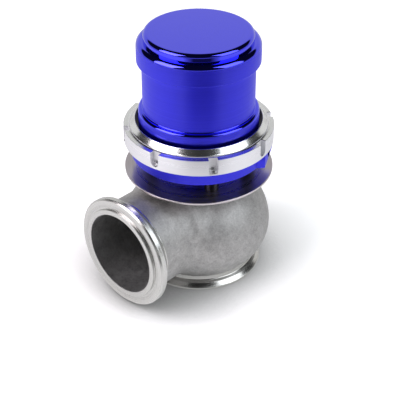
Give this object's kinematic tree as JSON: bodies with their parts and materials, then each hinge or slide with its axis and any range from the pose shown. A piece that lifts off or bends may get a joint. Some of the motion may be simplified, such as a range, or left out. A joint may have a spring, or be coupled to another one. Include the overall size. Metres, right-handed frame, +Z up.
{
  "type": "external wastegate",
  "caption": "Spring-loaded exhaust bypass valve: cast globe body with V-band flanges, heat shield, diaphragm housing, slotted lock ring and screwed-down top can.",
  "frame": {"origin": "centre of the inlet flange's face, on the valve stem's axis", "axes": "+Z up along the valve stem, away from the inlet; -Y the way the outlet points; +X to the right of someone who looks into the outlet"},
  "size_m": [0.1086, 0.1354, 0.1885],
  "materials": {
    "cast_stainless": "blasted casting, matt grey",
    "turned_stainless": "fine turned",
    "polished_stainless": "polished sheet",
    "bronze": "turned",
    "black_seal": "filled sealing compound, matt",
    "spring_steel": "oiled wire",
    "gasket": "stamped graphite-faced sheet",
    "black_steel": "black oxide",
    "blue_anodised": "polished, deep blue anodised",
    "diaphragm_rubber": "fabric-reinforced silicone",
    "plain_aluminium": "turned, uncoated",
    "slip_polymer": "white slip polymer",
    "polished_aluminium": "turned and polished, clear"
  },
  "bodies": {
    "gate": {"valve_body": "cast_stainless", "valve_seat": "turned_stainless", "valve_guide": "bronze", "stem_seal": "black_seal", "seal_circlip": "spring_steel", "body_gasket": "gasket", "heat_shield": "polished_stainless", "shield_spacers": "turned_stainless", "housing_bolts": "black_steel", "lower_housing": "blue_anodised", "diaphragm": "diaphragm_rubber", "locating_pin": "turned_stainless"},
    "valve": {"valve": "turned_stainless", "diaphragm_plate": "plain_aluminium", "spring_piston": "plain_aluminium", "stem_washer": "turned_stainless", "stem_nut": "black_steel"},
    "can": {"top_can": "blue_anodised", "slip_washer": "slip_polymer", "outer_spring": "spring_steel", "inner_spring": "spring_steel"},
    "ring": {"lock_ring": "polished_aluminium"}
  },
  "joints": [
    {"name": "valve_lift", "type": "slide", "parent": "gate", "child": "valve", "axis": [0, 0, 1], "range_m": [0, 0.011], "stiffness_N_per_m": 2000, "springref_m": -0.004, "deforming": ["diaphragm", "outer_spring", "inner_spring"]},
    {"name": "can_rise", "type": "slide", "parent": "gate", "child": "can", "axis": [0, 0, 1], "range_m": [0, 0.006]},
    {"name": "ring_turn", "type": "hinge", "parent": "can", "child": "ring", "pos_m": [0, 0, 0.11], "axis": [0, 0, 1], "range_deg": [0, 1080]}
  ],
  "couplings": [
    {"joint": "can_rise", "follows": "ring_turn", "m_per_rad": 0.00031831}
  ]
}
